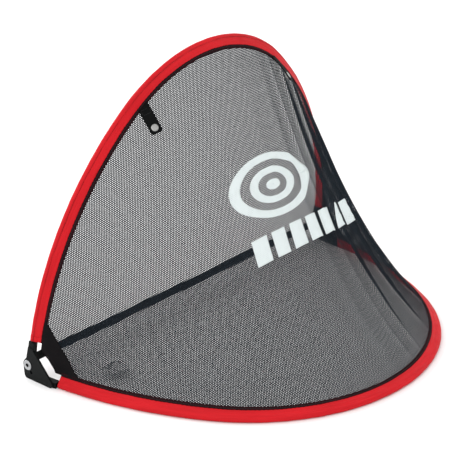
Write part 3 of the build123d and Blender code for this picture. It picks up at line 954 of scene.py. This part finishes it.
TARGET_U, TARGET_V = 0.5097, 0.3884
TARGET_STRETCH = 2.1  # the rings are ovals, wider than tall
RINGS = ((0.050, 0.039), (0.028, 0.018), (0.008, 0.0))
BLOCKS_U, BLOCKS_V = 0.552, 0.5336
BLOCK_COUNT = 7
BLOCK_SIZE = (0.034, 0.040)
BLOCK_STEP = 0.047
BLOCK_SLANT = 0.30


def ring_print(name, centre, outer_radius, inner_radius):
    turn = np.linspace(0, 2 * math.pi, 97)
    radius = np.linspace(outer_radius, max(inner_radius, 0.0004), 7)
    across = centre[0] + np.outer(np.cos(turn), radius) * TARGET_STRETCH
    down = centre[1] + np.outer(np.sin(turn), radius)
    printed_shape(name, across, down)


def block_print(name, centre):
    """A plain slanted block."""
    width, height = BLOCK_SIZE
    x, y = np.meshgrid(np.linspace(-0.5, 0.5, 13), np.linspace(-0.5, 0.5, 13), indexing="ij")
    printed_shape(name, centre[0] + x * width - y * height * BLOCK_SLANT, centre[1] + y * height)


def make_print():
    """A generic practice target: oval rings round a dot, over a row of plain blocks."""
    centre = flat_place(np.array(TARGET_U), np.array(TARGET_V))
    for number, (outer_radius, inner_radius) in enumerate(RINGS, 1):
        ring_print(f"target_ring_{number}", centre, outer_radius, inner_radius)
    across, down = flat_place(np.array(BLOCKS_U), np.array(BLOCKS_V))
    for number in range(BLOCK_COUNT):
        shift = (number - (BLOCK_COUNT - 1) / 2) * BLOCK_STEP
        block_print(f"target_block_{number + 1}", (across + shift, down))


LABEL_CURL = 0.0012
LABEL_OVER_NET = 0.0012
LABEL_EDGE_HEIGHT = 0.019  # the floor net's height at its edge near the label
LABEL_THICKNESS = 0.0003


def make_label():
    low, high = (np.array(c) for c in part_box("care_label"))
    rows, columns = 16, 22
    x = np.linspace(low[0], high[0], columns)[None].repeat(rows, 0)
    y = np.linspace(low[1], high[1], rows)[:, None].repeat(columns, 1)
    curl = LABEL_CURL * ((x - (low[0] + high[0]) / 2) / (high[0] - low[0]) * 2) ** 4
    z = floor_height(x, y - PIVOT[1], LABEL_EDGE_HEIGHT) + LABEL_OVER_NET + curl
    top = np.stack([x, y, z], -1)
    bottom = top - [0, 0, LABEL_THICKNESS]
    label = sheet_object("blank_care_label", top, bottom, top[..., :2], LABEL)
    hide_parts("care_label")
    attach(label, "base_frame")
    flatten_floor(label)


# ---------------------------------------------------------------- finishes of the CAD parts that show
CAD_FINISHES = {
    "bow_rod": ROD,
    "hinge_plate": NYLON,
    "hinge_arm": NYLON,
    "rivet": STEEL,
    "washer": STEEL,
    "snap": NICKEL,
}


def finish_cad_nodes():
    for name, node in frame["nodes"].items():
        for part, material in CAD_FINISHES.items():
            if part in name:
                for slot in node.material_slots:
                    slot.material = material


# ---------------------------------------------------------------- stage
CAMERA_AZIMUTH, CAMERA_ELEVATION = math.radians(130.49), math.radians(24.29)
CAMERA_ROLL = math.radians(0.74)
CAMERA_DISTANCE = 3.2
CAMERA_AIM = Vector((0.0520, -0.0815, 0.1977))
LENS = 153.95


def make_camera():
    """The view over the net's right hinge, as (azimuth, elevation) about the aim."""
    back = Vector((
        math.sin(CAMERA_AZIMUTH) * math.cos(CAMERA_ELEVATION),
        -math.cos(CAMERA_AZIMUTH) * math.cos(CAMERA_ELEVATION),
        math.sin(CAMERA_ELEVATION),
    ))
    camera = bpy.data.objects.new("camera", bpy.data.cameras.new("camera"))
    camera.data.lens = LENS
    camera.data.sensor_width = 36.0
    camera.data.clip_end = 50.0
    turned = back.to_track_quat("Z", "Y").to_matrix() @ Matrix.Rotation(CAMERA_ROLL, 3, "Z")
    camera.matrix_world = Matrix.Translation(CAMERA_AIM + back * CAMERA_DISTANCE) @ turned.to_4x4()
    bpy.context.scene.collection.objects.link(camera)
    bpy.context.scene.camera = camera


def area_light(name, place, size, power, aim=(0, 0, 0.15)):
    light = bpy.data.objects.new(name, bpy.data.lights.new(name, "AREA"))
    light.data.shape = "DISK"
    light.data.size = size
    light.data.energy = power
    light.location = place
    light.rotation_euler = (Vector(aim) - Vector(place)).to_track_quat("-Z", "Y").to_euler()
    bpy.context.scene.collection.objects.link(light)


def make_stage():
    half = 30.0
    corners = [(-half, -half, 0), (half, -half, 0), (half, half, 0), (-half, half, 0)]
    floor = new_object("floor", corners, [(0, 1, 2, 3)], None, floor_paint(), smooth=False)
    world = bpy.data.worlds.new("studio")
    bpy.context.scene.world = world
    world.use_nodes = True
    world.node_tree.nodes["Background"].inputs["Color"].default_value = (1, 1, 1, 1)
    world.node_tree.nodes["Background"].inputs["Strength"].default_value = 1.0
    area_light("key", (2.6, 1.0, 3.2), 2.2, 38)
    area_light("fill", (-2.4, 2.6, 2.4), 2.6, 14)
    area_light("front", (0.2, -2.8, 1.3), 2.4, 60)
    bpy.context.scene.view_settings.view_transform = "Standard"


# ---------------------------------------------------------------- everything
make_camera()
make_stage()
for bow_number in (0, 1):
    make_sleeve(bow_number)
    make_binding(bow_number)
    make_seam_stitches(bow_number)
    make_sleeve_hems(bow_number)
make_catch_net()
for hinge_side in ("right", "left"):
    make_corner_patch(hinge_side)
    make_closure_tab(hinge_side)
make_floor_net()
make_hinge_strap()
make_print()
make_label()
finish_cad_nodes()
